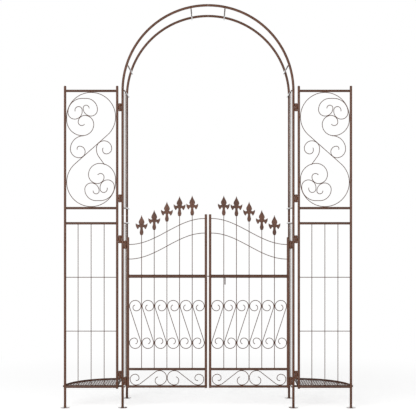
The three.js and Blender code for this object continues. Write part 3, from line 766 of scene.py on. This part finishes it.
def gate_stiles(side, word, body):
    node = f"gate_stile_inner_{word}"
    surface = Surface(side)
    capped_post(surface, GATE_INNER_X, node)
    hole = Surface()
    start = (GATE_INNER_X - 2 * TUBE_R, FRONT_Y, MID_RAIL_Z)
    hole.tube("x", start, 4 * TUBE_R, BOLT_R + BOLT_PLAY, sides=ROD_SIDES)
    surface.cut(hole)
    surface.finish(node, "tube", body)

    node = f"gate_stile_outer_{word}"
    surface = Surface(side)
    capped_post(surface, GATE_OUTER_X, node)
    for z in GATE_HINGES_Z:
        middle_knuckle(surface, GATE_HINGE_X, GATE_OUTER_X, z)
    surface.finish(node, "tube", body)


def bolt_slot():
    """The slot under the right rail that the bolt's peg slides along."""
    slot = Surface()
    gap = BOLT_R + BOLT_PLAY
    peg_x = high("latch_bolt").x - BOLT_R
    xs = (peg_x - gap, peg_x + BOLT_TRAVEL + gap)
    ys = (FRONT_Y - gap, FRONT_Y + gap)
    slot.plate(*xs, *ys, MID_RAIL_Z - 2 * MID_RAIL_R, MID_RAIL_Z, ease=0.001)
    return slot


def wave_height(low_z, x, x0, x1):
    """A wave's height: lowest at x1 by the hinges, and highest at x0 where the leaves meet."""
    along = (x1 - x) / (x1 - x0)
    return low_z + WAVE_RISE * (1 - math.cos(math.pi * along)) / 2


def upright_scroll(x, z):
    """An S scroll about a point: a slanting straight with a curl at each end."""
    lean = math.degrees(math.asin(CURL_R / SCROLL_ROW_HALF))
    straight = math.sqrt(SCROLL_ROW_HALF**2 - CURL_R**2)
    half = chain(0, 0, 90 - lean, [
        (straight,), (CURL_R, 180 + lean), (0.027, 90), (0.0185, 90), (0.0155, 75),
    ])
    return [(x + point.x, z + point.y) for point in both_ways(half_turned(half), half)]


def gate_grille(side, word, body):
    surface = Surface(side)
    x0, x1 = GATE_INNER_X + TUBE_R, GATE_OUTER_X - TUBE_R
    start = (x0 - 0.001, FRONT_Y, MID_RAIL_Z)
    surface.sleeve("x", start, x1 - x0 + 0.002, MID_RAIL_R, MID_RAIL_R - MID_RAIL_WALL)
    if word == "right":
        surface.cut(bolt_slot())
    for x in (x0 + BITE, x1 - BITE):
        surface.weld_ring("x", x, FRONT_Y, MID_RAIL_Z, MID_RAIL_R * 1.01)
    bottom = LOW_RAIL_Z + TUBE_R
    for x, top in zip(PICKET_XS, PICKET_TOPS):
        start = (x, FRONT_Y, bottom - 0.001)
        surface.tube("z", start, top - bottom + 0.003, WIRE_R, sides=PICKET_SIDES)
        surface.weld("upright", x, FRONT_Y, bottom)
        for away in (-MID_RAIL_R - 0.0003, MID_RAIL_R + 0.0003):
            surface.weld("upright", x, FRONT_Y, MID_RAIL_Z + away)
    xs = [x0 + (x1 - x0) * i / WAVE_STEPS for i in range(WAVE_STEPS + 1)]
    for low_z in WAVE_LOW_Z:
        wave = [(x, wave_height(low_z, x, x0, x1)) for x in xs]
        surface.flat_path(wave, WIRE_R, y=FRONT_Y - 1.5 * WIRE_R)
        for x in PICKET_XS:
            surface.weld("crossing", x, FRONT_Y - 0.8 * WIRE_R, wave_height(low_z, x, x0, x1))
        for x in (x0, x1):
            surface.weld("wire_end", x, FRONT_Y - WIRE_R, wave_height(low_z, x, x0, x1))
    pitch = PICKET_XS[1] - PICKET_XS[0]
    bays = [PICKET_XS[0] - pitch / 2] + [x + pitch / 2 for x in PICKET_XS]
    for x in bays:
        surface.flat_path(upright_scroll(x, SCROLL_ROW_Z), WIRE_R)
    for x in [bays[0] - pitch / 2] + [bay + pitch / 2 for bay in bays]:
        near_x = min(max(x, x0 + BITE), x1 - BITE)
        for way in (-1, 1):
            surface.weld("scroll_row", near_x, FRONT_Y, SCROLL_ROW_Z + way * SCROLL_ROW_HALF)
    surface.finish(f"gate_grille_{word}", "wirework", body)


def gate_bottom_panel(side, word, body):
    surface = Surface(side)
    x0, x1 = GATE_INNER_X + TUBE_R, GATE_OUTER_X - TUBE_R
    middle = (x0 + x1) / 2
    for z in (LOW_RAIL_Z, BOTTOM_RAIL_Z):
        rail(surface, x0, x1, z)
    rise = LOW_RAIL_Z - BOTTOM_RAIL_Z - 2 * TUBE_R - 2 * WIRE_R + 2 * BITE
    bottom_r, big_r, slope = 0.046, rise / 2, math.radians(38)
    straight = (rise - (bottom_r + big_r) * (1 - math.cos(slope))) / math.sin(slope)
    across = (bottom_r + big_r) * math.sin(slope) + straight * math.cos(slope)
    reach = big_r + WIRE_R - BITE
    start_x = reach + across
    start_z = BOTTOM_RAIL_Z + TUBE_R + WIRE_R - BITE
    inward = chain(start_x, start_z, 180, [
        (bottom_r, -38), (straight,), (big_r, 38), (big_r, 180), (0.025, 90), (0.022, 75),
    ])
    outward = chain(start_x, start_z, 0, [(0.0326, 90), (0.0285, 90), (0.022, 90), (0.014, 110)])
    scroll = both_ways(outward, inward)
    for way in (-1, 1):
        surface.flat_path([(middle + way * point.x, point.y) for point in scroll], WIRE_R)
        for x, z in ((reach, start_z + rise), (reach, start_z), (start_x, start_z)):
            surface.weld("scroll_rail", middle + way * x, FRONT_Y, z)
    surface.weld("scroll_pair", middle, FRONT_Y, start_z + big_r)
    surface.finish(f"gate_bottom_panel_{word}", "wirework", body)


# ---- Cast finials: a spear over two hooked leaves and a bulb ------------------------------------

# Half outlines from the top down: (how far out, how high over the bar's top)
SPEAR = (
    (0, 0.1135), (0.0018, 0.108), (0.0036, 0.1035), (0.008, 0.094), (0.0138, 0.0832), (0.0164, 0.0745),
)
NECK = ((0.016, 0.069), (0.0138, 0.0648), (0.0124, 0.0622))
HOOK = (
    (0.0146, 0.0602), (0.0188, 0.0593), (0.0238, 0.06), (0.0286, 0.0635), (0.0327, 0.068),
    (0.0336, 0.063), (0.0334, 0.0565), (0.0317, 0.0495), (0.0286, 0.0428), (0.025, 0.0368),
    (0.0218, 0.034), (0.0192, 0.0358), (0.0165, 0.04), (0.0136, 0.0436), (0.0106, 0.0452),
)
HOOK_TIP = 4  # which point of HOOK is sharp
BULB = (
    (0.0082, 0.0438), (0.0072, 0.0396), (0.0074, 0.0335), (0.0086, 0.0268), (0.0102, 0.0205),
    (0.0108, 0.0148), (0.01, 0.0092), (0.008, 0.004), (0.006, 0.0005),
)
CAST_T = 0.008
CAST_EASE = 0.0022
RIB_R = 0.0021
VEIN_R = 0.0016
# Profiles turned about the bar: (radius, height from the middle)
BAND = (
    (0.003224, -0.0026), (0.004588, -0.0024), (0.005208, -0.0012), (0.005332, 0),
    (0.005208, 0.0012), (0.004588, 0.0024), (0.003224, 0.0026),
)
FOOT_RING = ((0.002, -0.0015), (0.0042, -0.0015), (0.005, 0), (0.0042, 0.0015), (0.002, 0.0015))


def finial_outline():
    half = [Vector(point) for point in SPEAR + NECK + HOOK + BULB]
    other = [Vector((-point.x, point.y)) for point in reversed(half[1:])]
    return half + other


def finial_mesh():
    """The outline filled, with rounded edges."""
    curve = bpy.data.curves.new("finial_outline", "CURVE")
    curve.dimensions = "2D"
    curve.fill_mode = "BOTH"
    curve.resolution_u = 6
    curve.bevel_depth = CAST_EASE
    curve.bevel_resolution = 3
    curve.offset = -CAST_EASE
    curve.extrude = CAST_T / 2 - CAST_EASE - 0.0012
    outline = finial_outline()
    spline = curve.splines.new("BEZIER")
    spline.bezier_points.add(len(outline) - 1)
    for point, spot in zip(spline.bezier_points, outline):
        point.co = (spot.x, spot.y, 0)
        point.handle_left_type = point.handle_right_type = "AUTO"
    hook_tip = len(SPEAR) + len(NECK) + HOOK_TIP
    for i in (0, hook_tip, len(outline) - hook_tip):
        point = spline.bezier_points[i]
        point.handle_left_type = point.handle_right_type = "VECTOR"
    spline.use_cyclic_u = True
    shape = placed("finial_outline", curve)
    mesh = evaluated_mesh(shape)
    bpy.data.objects.remove(shape)
    return mesh


def finial(side, word, body, name):
    """A casting with a rib up the spear, a vein along each leaf and a band round the middle."""
    place = FINIALS.index(name)
    x, z = PICKET_XS[place], PICKET_TOPS[place]
    flat = finial_mesh()
    surface = Surface(side)
    surface.verts = [
        Vector((x + vert.co.x, FRONT_Y - vert.co.z, z + vert.co.y)) for vert in flat.vertices
    ]
    surface.faces = [tuple(polygon.vertices) for polygon in flat.polygons]
    vein = chain(0.008, 0.052, 8, [(0.034, 26), (0.012, 30)])
    for way in (-1, 1):
        y = FRONT_Y + way * (CAST_T / 2 - CAST_EASE)
        rib = [Vector((x, y, z + 0.064 + 0.044 * i / 12)) for i in range(13)]
        surface.sweep(rib, RIB_R, sides=10, flatten=0.9)
        for hand in (-1, 1):
            surface.flat_path([(x + hand * p.x, z + p.y) for p in vein], VEIN_R, y=y, sides=8)
    surface.turn(BAND, x, FRONT_Y, z + 0.0605, sides=ROD_SIDES)
    surface.turn(FOOT_RING, x, FRONT_Y, z + 0.0016, sides=ROD_SIDES)
    surface.finish(f"{name}_{word}", "finial", body)


# ---- Pins and bolt ------------------------------------------------------------------------------

# A profile turned about the pin: (radius, height)
PIN_HEAD = (
    (0.002, 0), (0.0052, 0), (0.0055, 0.0004), (0.0052, 0.0011), (0.0036, 0.002), (0.001, 0.0024),
)


def hinge_pin(side, word, name, z):
    surface = Surface(side)
    start = (GATE_HINGE_X, FRONT_Y, z - HINGE_H / 2 - 0.002)
    surface.tube("z", start, HINGE_H + 0.003, PIN_R, sides=ROD_SIDES)
    surface.turn(PIN_HEAD, GATE_HINGE_X, FRONT_Y, z + HINGE_H / 2 + GAP, sides=ROD_SIDES)
    surface.finish(f"gate_hinge_pin_{name}_{word}", "pin")


def latch_bolt():
    """A rod along the rail, bent down into a peg."""
    surface = Surface()
    tip, end_z = low("latch_bolt").x, low("latch_bolt").z
    peg_x = high("latch_bolt").x - BOLT_R
    along = peg_x - BOLT_BEND - tip
    down = MID_RAIL_Z - BOLT_BEND - end_z
    points = chain(tip, MID_RAIL_Z, 0, [(along,), (BOLT_BEND, -90), (down,)])
    surface.flat_path(points, BOLT_R, sides=20)
    surface.finish("latch_bolt", "bolt", "bolt")


# ---- Assembly -----------------------------------------------------------------------------------

for word, side in (("right", 1), ("left", -1)):
    foot(f"foot_front_{word}", side, POST_X, FRONT_Y)
    foot(f"foot_rear_{word}", side, POST_X, REAR_Y)
    foot(f"foot_wing_{word}", side, WING_OUTER_X, FRONT_Y)
    for where, y in (("front", FRONT_Y), ("rear", REAR_Y)):
        arch_posts(side, word, where, y)
        bow(side, word, where, y)
    for place, degrees in BOW_BARS.items():
        bow_bar(side, word, place, degrees)
    for part in ("lower", "upper"):
        side_grid(side, word, part)
    wing_post_inner(side, word)
    wing_post_outer(side, word)
    wing_scroll_panel(side, word)
    wing_grid_panel(side, word)
    tray(side, word)
    leaf = f"gate_{word}"
    gate_stiles(side, word, leaf)
    gate_grille(side, word, leaf)
    gate_bottom_panel(side, word, leaf)
    for name in FINIALS:
        finial(side, word, leaf, name)
    for name, z in zip(("low", "high"), GATE_HINGES_Z):
        hinge_pin(side, word, name, z)
latch_bolt()

# ---- Studio -------------------------------------------------------------------------------------

WHITE = (1, 1, 1, 1)
PALE = (0.93, 0.93, 0.93, 1.0)
BACKDROP = 1.0  # how bright the plain white backdrop looks
FLOOR_GLOW = 0.58  # what the camera sees of the floor over the light that falls on it
FLOOR_FADE = (0.6, 2.6)  # distances from the middle between which the floor turns white
SURROUND = 0.16  # the light that the room itself gives
BEHIND = 1.0  # and what the white wall behind the arch adds
WALL_EDGES = (0.78, 0.98)  # how squarely a direction faces the wall, from its edge to its full part
AIM = Vector((0, 0, 1.1))
CAMERA_Z = 1.0916
CAMERA_DISTANCE = 6.518


def floor():
    """A pale floor that fades into the white backdrop away from the object."""
    reach = 60
    corners = [(-reach, -reach, 0), (reach, -reach, 0), (reach, reach, 0), (-reach, reach, 0)]
    mesh = bpy.data.meshes.new("floor")
    mesh.from_pydata(corners, [], [(0, 1, 2, 3)])
    obj = placed("floor", mesh)
    material = bpy.data.materials.new("floor_pale")
    material.use_nodes = True
    nodes, links = material.node_tree.nodes, material.node_tree.links
    nodes.clear()
    output = nodes.new("ShaderNodeOutputMaterial")
    pale = nodes.new("ShaderNodeBsdfDiffuse")
    pale.inputs["Color"].default_value = PALE
    seen = nodes.new("ShaderNodeLightPath").outputs["Is Camera Ray"]

    def only_seen(value):
        node = nodes.new("ShaderNodeMath")
        node.operation = "MULTIPLY"
        links.new(seen, node.inputs[0])
        if isinstance(value, float):
            node.inputs[1].default_value = value
        else:
            links.new(value, node.inputs[1])
        return node.outputs["Value"]

    glow = nodes.new("ShaderNodeEmission")
    links.new(only_seen(FLOOR_GLOW), glow.inputs["Strength"])
    near = nodes.new("ShaderNodeAddShader")
    links.new(pale.outputs["BSDF"], near.inputs[0])
    links.new(glow.outputs["Emission"], near.inputs[1])
    far = nodes.new("ShaderNodeEmission")
    far.inputs["Strength"].default_value = BACKDROP

    distance = nodes.new("ShaderNodeVectorMath")
    distance.operation = "LENGTH"
    links.new(nodes.new("ShaderNodeTexCoord").outputs["Object"], distance.inputs[0])
    fade = nodes.new("ShaderNodeMapRange")
    fade.interpolation_type = "SMOOTHSTEP"
    fade.inputs["From Min"].default_value = FLOOR_FADE[0]
    fade.inputs["From Max"].default_value = FLOOR_FADE[1]
    links.new(distance.outputs["Value"], fade.inputs["Value"])
    together = nodes.new("ShaderNodeMixShader")
    links.new(only_seen(fade.outputs["Result"]), together.inputs["Fac"])
    links.new(near.outputs["Shader"], together.inputs[1])
    links.new(far.outputs["Emission"], together.inputs[2])
    links.new(together.outputs["Shader"], output.inputs["Surface"])
    mesh.materials.append(material)


def area_light(name, place, size, power):
    light = bpy.data.lights.new(name, "AREA")
    light.shape = "SQUARE"
    light.size = size
    light.energy = power
    obj = placed(name, light)
    obj.location = place
    obj.rotation_euler = (AIM - Vector(place)).to_track_quat("-Z", "Y").to_euler()


def studio():
    """Soft light from a white room, brightest on the wall behind the arch."""
    world = bpy.data.worlds.new("studio")
    world.use_nodes = True
    nodes, links = world.node_tree.nodes, world.node_tree.links
    room = nodes["Background"]
    backdrop = nodes.new("ShaderNodeBackground")
    backdrop.inputs["Color"].default_value = WHITE
    backdrop.inputs["Strength"].default_value = BACKDROP
    split = nodes.new("ShaderNodeSeparateXYZ")
    wall = nodes.new("ShaderNodeMapRange")
    wall.interpolation_type = "SMOOTHSTEP"
    wall.inputs["From Min"].default_value = WALL_EDGES[0]
    wall.inputs["From Max"].default_value = WALL_EDGES[1]
    wall.inputs["To Min"].default_value = SURROUND
    wall.inputs["To Max"].default_value = SURROUND + BEHIND
    choose = nodes.new("ShaderNodeMixShader")
    links.new(nodes.new("ShaderNodeTexCoord").outputs["Generated"], split.inputs[0])
    links.new(split.outputs["Y"], wall.inputs["Value"])
    links.new(wall.outputs["Result"], room.inputs["Strength"])
    room.inputs["Color"].default_value = WHITE
    links.new(nodes.new("ShaderNodeLightPath").outputs["Is Camera Ray"], choose.inputs["Fac"])
    links.new(room.outputs["Background"], choose.inputs[1])
    links.new(backdrop.outputs["Background"], choose.inputs[2])
    links.new(choose.outputs["Shader"], nodes["World Output"].inputs["Surface"])
    bpy.context.scene.world = world
    bpy.context.scene.view_settings.view_transform = "Standard"
    area_light("key", (-3.0, -4.6, 2.4), 4.0, 230)
    area_light("fill", (3.6, -4.0, 1.7), 4.0, 120)


def camera():
    """Level, square to the arch, and as far away as the photo's."""
    lens = bpy.data.cameras.new("camera")
    lens.lens = 99
    lens.sensor_width = 36
    lens.shift_y = 0.0195
    obj = placed("camera", lens)
    obj.location = (0, FRONT_Y - CAMERA_DISTANCE, CAMERA_Z)
    obj.rotation_euler = (math.pi / 2, 0, 0)
    bpy.context.scene.camera = obj


floor()
studio()
camera()
